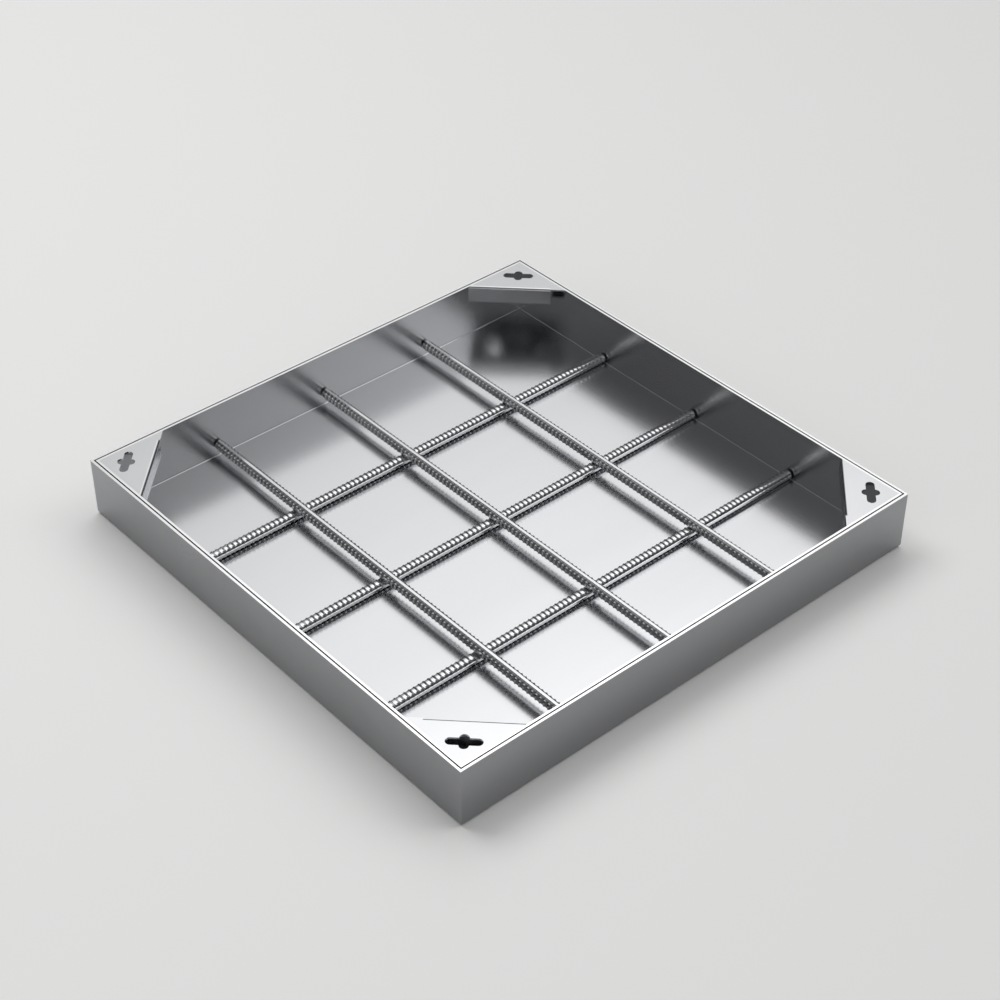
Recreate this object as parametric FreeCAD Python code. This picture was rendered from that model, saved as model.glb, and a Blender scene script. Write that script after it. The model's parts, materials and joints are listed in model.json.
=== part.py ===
import FreeCAD, Part
import math
import os

# Recessed paving cover: a folded stainless tray that stands in a mitred angle frame.
# Millimetres, +Z up, origin at the centre of the frame's underside.
# The front corner is at -X -Y, the right one at +X -Y, the back one at +X +Y, the left one at -X +Y.

os.makedirs("parts", exist_ok=True)

# Frame, of angle folded from sheet
frame_side = 600.0
frame_height = 70.0
frame_sheet = 2.5
frame_flange = 25.0
frame_bend_inside = 1.0

# Tray, which stands on the frame's flanges with a gap all round
tray_gap = 1.5
tray_sheet = 2.5
tray_bend_inside = 1.0

# Corner plates, flush with the rim and let in between the tray's walls
plate_leg = 80.0
plate_sheet = 2.0
plate_bend_inside = 0.8
lip_height = 22.0
lip_return = 16.0
lip_relief = 17.0
key_setback = 20.3
key_slot_length = 35.0
key_cross_length = 19.0
key_slot_width = 9.5

# Ribbed bars, some lying on the floor and as many across them
bars_each_way = 3
bar_overall = 11.6
bar_top_width = 5.6
rib_height = 1.0
rib_pitch = 5.9
bar_end_gap = 2.0
weld_set_down = 3.0
weld_clearance = 0.8

tray_side = frame_side - 2 * (frame_sheet + tray_gap)
tray_inside = tray_side - 2 * tray_sheet
tray_base = frame_sheet
floor_top = tray_base + tray_sheet
bar_length = tray_inside - 2 * bar_end_gap
bar_spacing = tray_inside / (bars_each_way + 1)
crest = bar_overall / 2
root = crest - rib_height
weld_seat = crest - weld_set_down / 2
weld_half = crest + weld_clearance
lower_axis = floor_top + crest
upper_axis = lower_axis + 2 * weld_seat
bar_places = [(i - (bars_each_way - 1) / 2) * bar_spacing for i in range(bars_each_way)]

side_names = ("front_right", "back_right", "back_left", "front_left")
corner_names = ("front", "right", "back", "left")


def vec(x, y, z=0.0):
    return FreeCAD.Vector(x, y, z)


def polygon_face(points):
    return Part.Face(Part.makePolygon(list(points) + [points[0]]))


def outline_face(edges):
    return Part.Face(Part.Wire([edge.toShape() for edge in edges]))


def quarter_turned(shape, turns):
    return shape.rotated(vec(0, 0), vec(0, 0, 1), 90 * turns)


def save(shape, node):
    if not shape.isValid() or not shape.Solids:
        raise ValueError(node + " isn't a valid solid")
    shape.exportStep("parts/" + node + ".step")
    print(node, "volume", round(shape.Volume / 1000, 2), "cm3, faces", len(shape.Faces))


# A sheet folded through a right angle: its section, with the fold's outer corner at the given point.
# One leg runs along the first direction and the other along the second.

def folded_section(corner, first, first_length, second, second_length, sheet, bend_inside):
    outer = bend_inside + sheet
    centre = corner + (first + second) * outer
    towards_corner = (first + second) * -math.sqrt(0.5)

    def place(along_first, along_second):
        return corner + first * along_first + second * along_second

    return outline_face([
        Part.LineSegment(place(first_length, 0), place(outer, 0)),
        Part.Arc(place(outer, 0), centre + towards_corner * outer, place(0, outer)),
        Part.LineSegment(place(0, outer), place(0, second_length)),
        Part.LineSegment(place(0, second_length), place(sheet, second_length)),
        Part.LineSegment(place(sheet, second_length), place(sheet, outer)),
        Part.Arc(place(sheet, outer), centre + towards_corner * bend_inside, place(outer, sheet)),
        Part.LineSegment(place(outer, sheet), place(first_length, sheet)),
        Part.LineSegment(place(first_length, sheet), place(first_length, 0)),
    ])


# Frame: one length of angle along the -Y side, its ends cut to mitres

def make_frame_length():
    half = frame_side / 2
    section = folded_section(vec(-half, -half), vec(0, 1), frame_flange, vec(0, 0, 1), frame_height,
                             frame_sheet, frame_bend_inside)
    angle = section.extrude(vec(frame_side, 0))
    reach = half - frame_flange
    mitre = polygon_face([vec(-half, -half), vec(half, -half), vec(reach, -reach), vec(-reach, -reach)])
    return angle.common(mitre.extrude(vec(0, 0, frame_height)))


# Tray: a box with rounded lower folds, less its inside

def box_with_round_base(side, low, high, radius):
    box = Part.makeBox(side, side, high - low, vec(-side / 2, -side / 2, low))
    base_edges = [edge for edge in box.Edges if edge.BoundBox.ZMax < low + radius / 2]
    return box.makeFillet(radius, base_edges)


def make_tray():
    outside = box_with_round_base(tray_side, tray_base, frame_height, tray_bend_inside + tray_sheet)
    inside = box_with_round_base(tray_inside, floor_top, frame_height, tray_bend_inside)
    return outside.cut(inside)


# Corner plate: drawn for the front corner with that corner at the origin and its top at z = 0.
# Its long free edge is folded down to a lip, and the lip back in below the plate. Both stop short of
# one wall.

def round_ended_slot(length, centre, along):
    half = key_slot_width / 2
    across = vec(-along.y, along.x) * half
    end_a = centre - along * (length / 2 - half)
    end_b = centre + along * (length / 2 - half)
    slot = outline_face([
        Part.LineSegment(end_a - across, end_b - across),
        Part.Arc(end_b - across, end_b + along * half, end_b + across),
        Part.LineSegment(end_b + across, end_a + across),
        Part.Arc(end_a + across, end_a - along * half, end_a - across),
    ])
    return slot.extrude(vec(0, 0, -plate_sheet))


def make_corner_plate():
    inwards = vec(1, 1).normalize()
    edgewise = vec(1, -1).normalize()
    middle = vec(plate_leg / 2, plate_leg / 2)
    half_edge = plate_leg / math.sqrt(2)
    free_half = half_edge - lip_relief
    fold_strip = 2 * (plate_bend_inside + plate_sheet)
    corner = polygon_face([vec(0, 0), vec(plate_leg, 0), vec(0, plate_leg)])

    flat = polygon_face([
        vec(0, 0),
        vec(plate_leg - fold_strip * math.sqrt(2), 0),
        middle - inwards * fold_strip - edgewise * free_half,
        middle - edgewise * free_half,
        vec(0, plate_leg),
    ]).extrude(vec(0, 0, -plate_sheet))

    fold_top = middle - edgewise * free_half
    upper_fold = folded_section(fold_top, inwards * -1, fold_strip, vec(0, 0, -1), lip_height / 2,
                                plate_sheet, plate_bend_inside)
    lower_fold = folded_section(fold_top - vec(0, 0, lip_height), inwards * -1, lip_return, vec(0, 0, 1),
                                lip_height / 2, plate_sheet, plate_bend_inside)
    lip = upper_fold.fuse(lower_fold).extrude(edgewise * (free_half + half_edge))
    lip = lip.common(corner.extrude(vec(0, 0, -lip_height)))

    key_centre = vec(key_setback, key_setback)
    key = round_ended_slot(key_slot_length, key_centre, edgewise)
    key = key.fuse(round_ended_slot(key_cross_length, key_centre, inwards))
    return flat.fuse(lip).cut(key).removeSplitter()


# Ribbed bar, along X with its axis at the origin. Six lines run along it: a straight one on each of
# its two lengthwise ribs, and two above and two below that rise over each cross rib and fall to the
# bar between them. Its skin is stretched between neighbouring lines.

def line_heights(ribbed, crossings):
    """Places along the bar with the line's distance from the axis, lower where bars are welded."""
    count = int(bar_length / rib_pitch)
    first = -count * rib_pitch / 2
    end_height = root if ribbed else crest
    places = [(-bar_length / 2, end_height), (bar_length / 2, end_height)]
    for i in range(1, 2 * count):
        x = first + i * rib_pitch / 2
        on_rib = i % 2 == 1
        welded = any(abs(x - c) < weld_half + rib_pitch / 4 for c in crossings)
        if not welded and (ribbed or on_rib):
            places.append((x, crest if on_rib else root))
    for c in crossings:
        places += [(c - weld_half, weld_seat), (c + weld_half, weld_seat)]
    return sorted(places)


def stretched(line_a, line_b):
    """Triangles between two lines side by side, stepping along whichever lags behind."""
    faces = []
    i = j = 0
    while i + j < len(line_a) + len(line_b) - 2:
        at_end = j == len(line_b) - 1
        step_a = at_end or (i < len(line_a) - 1 and line_a[i + 1].x <= line_b[j + 1].x)
        ahead = line_a[i + 1] if step_a else line_b[j + 1]
        faces.append(polygon_face([line_a[i], line_b[j], ahead]))
        i += step_a
        j += not step_a
    return faces


def make_bar(weld_above, weld_on_long_rib):
    """Cross ribs point up and down, unless the weld is on a lengthwise rib, which then points down."""
    top_welds = bar_places if weld_above else []
    side_welds = bar_places if weld_on_long_rib else []
    half_top = bar_top_width / 2
    top = line_heights(True, top_welds)
    base = line_heights(True, [])
    near_side = line_heights(False, side_welds)
    far_side = line_heights(False, [])
    lines = [
        [vec(x, h, 0) for x, h in far_side],
        [vec(x, half_top, h) for x, h in top],
        [vec(x, -half_top, h) for x, h in top],
        [vec(x, -h, 0) for x, h in near_side],
        [vec(x, -half_top, -h) for x, h in base],
        [vec(x, half_top, -h) for x, h in base],
    ]
    faces = [polygon_face([line[0] for line in lines]), polygon_face([line[-1] for line in lines])]
    for k, line in enumerate(lines):
        faces += stretched(line, lines[(k + 1) % len(lines)])
    bar = Part.Solid(Part.Shell(faces))
    if bar.Volume < 0:
        bar.reverse()
    return bar


def build():
    frame_length = make_frame_length()
    plate = make_corner_plate().translated(vec(-tray_inside / 2, -tray_inside / 2, frame_height))
    for turns in range(4):
        save(quarter_turned(frame_length, turns), "frame_" + side_names[turns])
        save(quarter_turned(plate, turns), "corner_plate_" + corner_names[turns])
    save(make_tray(), "tray")

    lower = make_bar(True, False)
    upper = make_bar(False, True).rotated(vec(0, 0), vec(1, 0, 0), 90)
    upper = upper.rotated(vec(0, 0), vec(0, 0, 1), 90)
    for number, place in enumerate(bar_places, 1):
        save(lower.translated(vec(0, place, lower_axis)), "lower_bar_%d" % number)
        save(upper.translated(vec(place, 0, upper_axis)), "upper_bar_%d" % number)


build()
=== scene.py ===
import bpy
import bmesh
import json
import math
from mathutils import Matrix, Vector


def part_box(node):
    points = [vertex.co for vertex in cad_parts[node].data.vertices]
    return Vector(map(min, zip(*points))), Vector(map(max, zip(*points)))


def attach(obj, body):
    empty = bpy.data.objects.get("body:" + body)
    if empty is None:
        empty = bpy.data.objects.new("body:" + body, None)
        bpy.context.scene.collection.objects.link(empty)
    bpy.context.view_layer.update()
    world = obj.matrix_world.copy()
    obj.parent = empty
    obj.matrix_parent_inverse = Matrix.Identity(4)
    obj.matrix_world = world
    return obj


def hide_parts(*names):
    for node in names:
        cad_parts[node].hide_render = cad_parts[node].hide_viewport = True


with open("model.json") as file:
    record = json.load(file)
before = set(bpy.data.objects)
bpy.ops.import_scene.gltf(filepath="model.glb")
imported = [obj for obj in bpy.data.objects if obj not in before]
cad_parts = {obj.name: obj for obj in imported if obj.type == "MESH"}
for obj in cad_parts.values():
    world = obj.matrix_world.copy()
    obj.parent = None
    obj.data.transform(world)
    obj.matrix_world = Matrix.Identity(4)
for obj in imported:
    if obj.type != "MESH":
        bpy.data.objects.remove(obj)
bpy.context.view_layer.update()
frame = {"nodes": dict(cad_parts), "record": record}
print("frame loaded:", len(frame["nodes"]), "nodes")

mm = 0.001


# sRGB hex to linear, with alpha
def hexColour(text):
    channels = [int(text[i:i + 2], 16) / 255 for i in (1, 3, 5)]
    return [c / 12.92 if c <= 0.04045 else ((c + 0.055) / 1.055) ** 2.4 for c in channels] + [1.0]


# A node may have sockets of one name for each kind of data, of which it shows one
def shown(sockets, name):
    return [s for s in sockets if s.name == name and s.enabled][0]


def addNode(tree, kind, settings=None, inputs=None):
    made = tree.nodes.new(kind)
    for key, value in (settings or {}).items():
        setattr(made, key, value)
    for key, value in (inputs or {}).items():
        socket = made.inputs[key] if isinstance(key, int) else shown(made.inputs, key)
        if isinstance(value, bpy.types.NodeSocket):
            tree.links.new(value, socket)
        else:
            socket.default_value = value
    return made


# Camera at the photograph's angle, turned round a point in the rim's plane
view = {
    "azimuth": -40.95, "elevation": 38.48, "roll": -0.13,
    "distance": 2.181, "target": (-0.0212, -0.0325, 0.070), "lens": 76.9,
}


def placeCamera():
    data = bpy.data.cameras.new("camera")
    data.sensor_fit = "HORIZONTAL"
    data.lens = view["lens"]
    azimuth = math.radians(view["azimuth"])
    elevation = math.radians(view["elevation"])
    back = Vector((math.sin(azimuth) * math.cos(elevation), -math.cos(azimuth) * math.cos(elevation),
                   math.sin(elevation)))
    roll = Matrix.Rotation(math.radians(view["roll"]), 3, "Z").to_quaternion()
    camera = bpy.data.objects.new("camera", data)
    camera.location = Vector(view["target"]) + back * view["distance"]
    camera.rotation_euler = (back.to_track_quat("Z", "Y") @ roll).to_euler()
    bpy.context.scene.collection.objects.link(camera)
    bpy.context.scene.camera = camera


placeCamera()
print("camera placed")


# Stainless steel, cold rolled and given a fine satin: a blurred mirror, sharp where something touches
# it and soft a few centimetres away. Its grain is too fine to see here, so only slow clouding shows.
# The smoother parts are the lighter ones.
finishes = {
    # The frame's darker colour is painted shade: it stands in for the shade its outer walls show
    "frame": {"light": "#9fa0a2", "dark": "#97989a", "smooth": 0.27, "rough": 0.31, "withPaintedRimHighlight": True},
    "tray": {"light": "#d1d2d4", "dark": "#cbccce", "smooth": 0.21, "rough": 0.235, "withPaintedRimHighlight": True},
    "corner_plate": {"light": "#d6d7d9", "dark": "#d0d1d3", "smooth": 0.18, "rough": 0.21, "withPaintedRimHighlight": False},
    "bar": {"light": "#dadbdd", "dark": "#cbccce", "smooth": 0.13, "rough": 0.17, "withPaintedRimHighlight": False},
}
# Along the rim, the top band of frame and tray is painted lighter than the faces, a painted highlight, and is made
# smoother
rimPaintedHighlight = {"fromHeight": 69.5 * mm, "colour": "#f0f0f1", "roughness": 0.14}
# Clouds are drawn out the way the sheet was rolled. The middle of the noise takes up the whole change.
clouding = {"size": 70.0 * mm, "streak": 8.0, "detail": 3.0, "from": 0.3, "to": 0.7}


def satinSteel(name, finish):
    material = bpy.data.materials.new("satin_stainless_" + name)
    material.use_nodes = True
    tree = material.node_tree
    tree.nodes.clear()
    place = addNode(tree, "ShaderNodeTexCoord").outputs["Object"]
    scale = 1 / clouding["size"]
    rolled = addNode(tree, "ShaderNodeMapping", inputs={
        "Vector": place, "Scale": (scale / clouding["streak"], scale, scale)})
    cloud = addNode(tree, "ShaderNodeTexNoise", inputs={
        "Vector": rolled.outputs["Vector"], "Scale": 1.0, "Detail": clouding["detail"]}).outputs["Fac"]
    colour = shown(addNode(tree, "ShaderNodeMix", {"data_type": "RGBA"}, {
        "Factor": cloud, "A": hexColour(finish["dark"]), "B": hexColour(finish["light"])}).outputs, "Result")
    roughness = addNode(tree, "ShaderNodeMapRange", inputs={
        "Value": cloud, "From Min": clouding["from"], "From Max": clouding["to"],
        "To Min": finish["rough"], "To Max": finish["smooth"]}).outputs["Result"]
    # Painted highlight: the top band of the rim gets a lighter colour and a lower roughness
    if finish["withPaintedRimHighlight"]:
        height = addNode(tree, "ShaderNodeSeparateXYZ", inputs={"Vector": place}).outputs["Z"]
        onPaintedHighlight = addNode(tree, "ShaderNodeMath", {"operation": "GREATER_THAN"}, {
            0: height, 1: rimPaintedHighlight["fromHeight"]}).outputs[0]
        colour = shown(addNode(tree, "ShaderNodeMix", {"data_type": "RGBA"}, {
            "Factor": onPaintedHighlight, "A": colour, "B": hexColour(rimPaintedHighlight["colour"])}).outputs, "Result")
        roughness = shown(addNode(tree, "ShaderNodeMix", {"data_type": "FLOAT"}, {
            "Factor": onPaintedHighlight, "A": roughness, "B": rimPaintedHighlight["roughness"]}).outputs, "Result")
    shader = addNode(tree, "ShaderNodeBsdfPrincipled", inputs={
        "Base Color": colour, "Metallic": 1.0, "Roughness": roughness})
    addNode(tree, "ShaderNodeOutputMaterial", inputs={"Surface": shader.outputs["BSDF"]})
    return material


steels = {name: satinSteel(name, finish) for name, finish in finishes.items()}
slotOf = {row["node"]: row["material_slot"] for row in frame["record"]["subparts"]}


def giveFinish(piece, material):
    piece.data.materials.clear()
    piece.data.materials.append(material)


for nodeName, piece in frame["nodes"].items():
    giveFinish(piece, steels[slotOf[nodeName]])
print("steel finishes given")


# Ribbed bar of 10 mm nominal size: a core pressed nearly flat on two sides, a flat-topped lengthwise
# rib on the other two, and cross ribs over the flat sides that fade out at the lengthwise ribs.
# The outline is in millimetres and runs from the middle of a lengthwise rib to the middle of a flat
# side. Each point has its place on the core and how far the cross rib lifts it, outwards and up.
ribbed = {
    "outline": (
        (5.80, 0.00, 0.00, 0.00), (5.80, 1.45, 0.00, 0.00), (5.05, 1.75, 0.35, 0.15),
        (4.55, 3.10, 0.45, 0.35), (3.60, 4.30, 0.45, 0.70), (2.60, 4.70, 0.20, 0.95),
        (0.00, 4.80, 0.00, 1.00),
    ),
    "pitch": 5.9 * mm, "ribBase": 2.6 * mm, "weldHalf": 6.6 * mm,
    "sharpAngle": 32.0, "mergeWithin": 0.01 * mm,
}


# The outline mirrored into all four quarters of a ring
def shapeRing(ring, height, ribShare):
    quarter = len(ribbed["outline"]) - 1
    for i, v in enumerate(ring):
        fold = i % (2 * quarter)
        x, y, liftX, liftY = ribbed["outline"][fold if fold <= quarter else 2 * quarter - fold]
        x, y = (x + liftX * ribShare) * mm, (y + liftY * ribShare) * mm
        signX = 1 if i <= quarter or i >= 3 * quarter else -1
        signY = 1 if i <= 2 * quarter else -1
        v.co = Vector((x * signX, y * signY, height))


def extrudeRing(bm, ring):
    ends = set(ring)
    edges = [e for e in bm.edges
             if (e.is_boundary or e.is_wire) and e.verts[0] in ends and e.verts[1] in ends]
    made = bmesh.ops.extrude_edge_only(bm, edges=edges)["geom"]
    # the new ring in the order of the old one
    partner = {}
    for v in made:
        if isinstance(v, bmesh.types.BMVert):
            for e in v.link_edges:
                if e.other_vert(v) in ends:
                    partner[e.other_vert(v)] = v
    return [partner[v] for v in ring]


# One pitch of bar: a rib that rises from the core and falls to it, and core up to the next rib
def ribCell(bm):
    segments = 4 * (len(ribbed["outline"]) - 1)
    ring = list(bmesh.ops.create_circle(bm, segments=segments, radius=mm)["verts"])
    shapeRing(ring, 0.0, 0.0)
    for height, share in ((ribbed["ribBase"] / 2, 1.0), (ribbed["ribBase"], 0.0), (ribbed["pitch"], 0.0)):
        ring = extrudeRing(bm, ring)
        shapeRing(ring, height, share)
    return list(bm.verts) + list(bm.edges) + list(bm.faces)


def ribbedBar(name, nodeName, turn, weldSign, crossings, seat):
    low, high = (Vector(corner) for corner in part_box(nodeName))
    centre = (low + high) / 2
    length = max(high - low)
    pitch = ribbed["pitch"]
    count = int(length / pitch)
    bm = bmesh.new()
    cell = ribCell(bm)
    for i in range(1, count):
        copy = bmesh.ops.duplicate(bm, geom=cell)["geom"]
        bmesh.ops.translate(bm, vec=(0, 0, i * pitch), verts=[g for g in copy if isinstance(g, bmesh.types.BMVert)])
    bmesh.ops.remove_doubles(bm, verts=bm.verts, dist=ribbed["mergeWithin"])
    bmesh.ops.translate(bm, vec=(0, 0, -((count - 1) * pitch + ribbed["ribBase"]) / 2), verts=bm.verts)
    # plain ends out to the bar's length, closed
    for side in (-1, 1):
        rim = [e for e in bm.edges if e.is_boundary and e.verts[0].co.z * side > 0]
        made = bmesh.ops.extrude_edge_only(bm, edges=rim)["geom"]
        rim = [g for g in made if isinstance(g, bmesh.types.BMEdge) and g.is_boundary]
        for v in {v for e in rim for v in e.verts}:
            v.co.z = side * length / 2
        bmesh.ops.holes_fill(bm, edges=rim, sides=0)
    bmesh.ops.transform(bm, matrix=turn.to_4x4(), verts=bm.verts)
    bmesh.ops.translate(bm, vec=centre, verts=bm.verts)
    # pressed flat where the other bars are welded to it
    along = turn.col[2]
    for v in bm.verts:
        place = v.co.dot(along)
        if any(abs(place - c) < ribbed["weldHalf"] for c in crossings):
            up = (v.co.z - centre.z) * weldSign
            v.co.z = centre.z + min(up, seat) * weldSign
    bmesh.ops.recalc_face_normals(bm, faces=bm.faces)
    sharp = math.radians(ribbed["sharpAngle"])
    for e in bm.edges:
        e.smooth = len(e.link_faces) == 2 and e.calc_face_angle(0) < sharp
    for f in bm.faces:
        f.smooth = True
    mesh = bpy.data.meshes.new(name)
    bm.to_mesh(mesh)
    bm.free()
    bar = bpy.data.objects.new(name, mesh)
    bpy.context.scene.collection.objects.link(bar)
    giveFinish(bar, steels["bar"])
    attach(bar, "root")
    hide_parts(nodeName)


def boxCentre(nodeName, axis):
    low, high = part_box(nodeName)
    return (low[axis] + high[axis]) / 2


# The lower bars have a flat side up, and the upper ones, which lie across them, a lengthwise rib down
def layBars():
    lowerTurn = Matrix(((0, 0, 1), (1, 0, 0), (0, 1, 0)))
    upperTurn = Matrix(((0, 1, 0), (0, 0, 1), (1, 0, 0)))
    seat = (boxCentre("upper_bar_1", 2) - boxCentre("lower_bar_1", 2)) / 2
    acrossLower = [boxCentre("upper_bar_%d" % i, 0) for i in (1, 2, 3)]
    acrossUpper = [boxCentre("lower_bar_%d" % i, 1) for i in (1, 2, 3)]
    for i in (1, 2, 3):
        ribbedBar("ribbed_lower_%d" % i, "lower_bar_%d" % i, lowerTurn, 1, acrossLower, seat)
        ribbedBar("ribbed_upper_%d" % i, "upper_bar_%d" % i, upperTurn, -1, acrossUpper, seat)


layBars()
print("ribbed bars laid")


# Floor of matt pale paper
floor = {"side": 60.0, "colour": "#f9f9f8", "roughness": 0.9, "gloss": 0.1}


def layFloor():
    bm = bmesh.new()
    bmesh.ops.create_grid(bm, x_segments=1, y_segments=1, size=floor["side"] / 2)
    mesh = bpy.data.meshes.new("floor")
    bm.to_mesh(mesh)
    bm.free()
    sheet = bpy.data.objects.new("floor", mesh)
    bpy.context.scene.collection.objects.link(sheet)
    material = bpy.data.materials.new("matt_pale_paper")
    material.use_nodes = True
    shader = material.node_tree.nodes["Principled BSDF"]
    shader.inputs["Base Color"].default_value = hexColour(floor["colour"])
    shader.inputs["Roughness"].default_value = floor["roughness"]
    shader.inputs["Specular IOR Level"].default_value = floor["gloss"]
    giveFinish(sheet, material)


# A softbox above and behind, which lights the floor and isn't seen in the steel
softbox = {"azimuth": 110.0, "elevation": 62.0, "distance": 4.0, "side": 2.0, "power": 46.0}

# The room is dim and gets lighter upwards, from one height of view to the other. In it are five soft
# patches of light, each with the way it lies, how wide it spreads and how bright its middle is.
room = {
    "low": 0.03, "high": 0.13, "riseFrom": 0.15, "riseTo": 0.5,
    "patches": (
        {"azimuth": 46.0, "elevation": 50.0, "spread": 21.0, "strength": 1.74},
        {"azimuth": 185.0, "elevation": 30.0, "spread": 20.0, "strength": 1.00},
        {"azimuth": 5.0, "elevation": 66.0, "spread": 24.0, "strength": 1.40},
        {"azimuth": -34.0, "elevation": 40.0, "spread": 16.0, "strength": 2.30},
        {"azimuth": 230.0, "elevation": 12.0, "spread": 12.0, "strength": 1.40},
    ),
}


def wayTo(light):
    azimuth, elevation = math.radians(light["azimuth"]), math.radians(light["elevation"])
    return Vector((math.cos(azimuth) * math.cos(elevation), math.sin(azimuth) * math.cos(elevation),
                   math.sin(elevation)))


def hangSoftbox():
    data = bpy.data.lights.new("softbox", "AREA")
    data.shape = "SQUARE"
    data.size = softbox["side"]
    data.energy = softbox["power"]
    lamp = bpy.data.objects.new("softbox", data)
    lamp.location = wayTo(softbox) * softbox["distance"]
    lamp.rotation_euler = wayTo(softbox).to_track_quat("Z", "Y").to_euler()
    lamp.visible_glossy = False
    bpy.context.scene.collection.objects.link(lamp)


def lightRoom():
    world = bpy.data.worlds.new("room")
    world.use_nodes = True
    bpy.context.scene.world = world
    tree = world.node_tree
    tree.nodes.clear()
    look = addNode(tree, "ShaderNodeTexCoord").outputs["Generated"]
    split = addNode(tree, "ShaderNodeSeparateXYZ", inputs={"Vector": look})
    total = addNode(tree, "ShaderNodeMapRange", {"interpolation_type": "SMOOTHSTEP"}, {
        "Value": split.outputs["Z"], "From Min": room["riseFrom"], "From Max": room["riseTo"],
        "To Min": room["low"], "To Max": room["high"]}).outputs["Result"]
    for patch in room["patches"]:
        # a bell curve over the angle from the patch's middle
        sharpness = 2 / math.radians(patch["spread"]) ** 2
        near = addNode(tree, "ShaderNodeVectorMath", {"operation": "DOT_PRODUCT"}, {0: look, 1: wayTo(patch)})
        fall = addNode(tree, "ShaderNodeMath", {"operation": "MULTIPLY_ADD"}, {
            0: near.outputs["Value"], 1: sharpness, 2: -sharpness})
        glow = addNode(tree, "ShaderNodeMath", {"operation": "EXPONENT"}, {0: fall.outputs[0]})
        total = addNode(tree, "ShaderNodeMath", {"operation": "MULTIPLY_ADD"}, {
            0: glow.outputs[0], 1: patch["strength"], 2: total}).outputs[0]
    sky = addNode(tree, "ShaderNodeBackground", inputs={"Strength": total})
    addNode(tree, "ShaderNodeOutputWorld", inputs={"Surface": sky.outputs["Background"]})


layFloor()
hangSoftbox()
lightRoom()
bpy.context.scene.view_settings.view_transform = "Standard"
print("floor and light set")
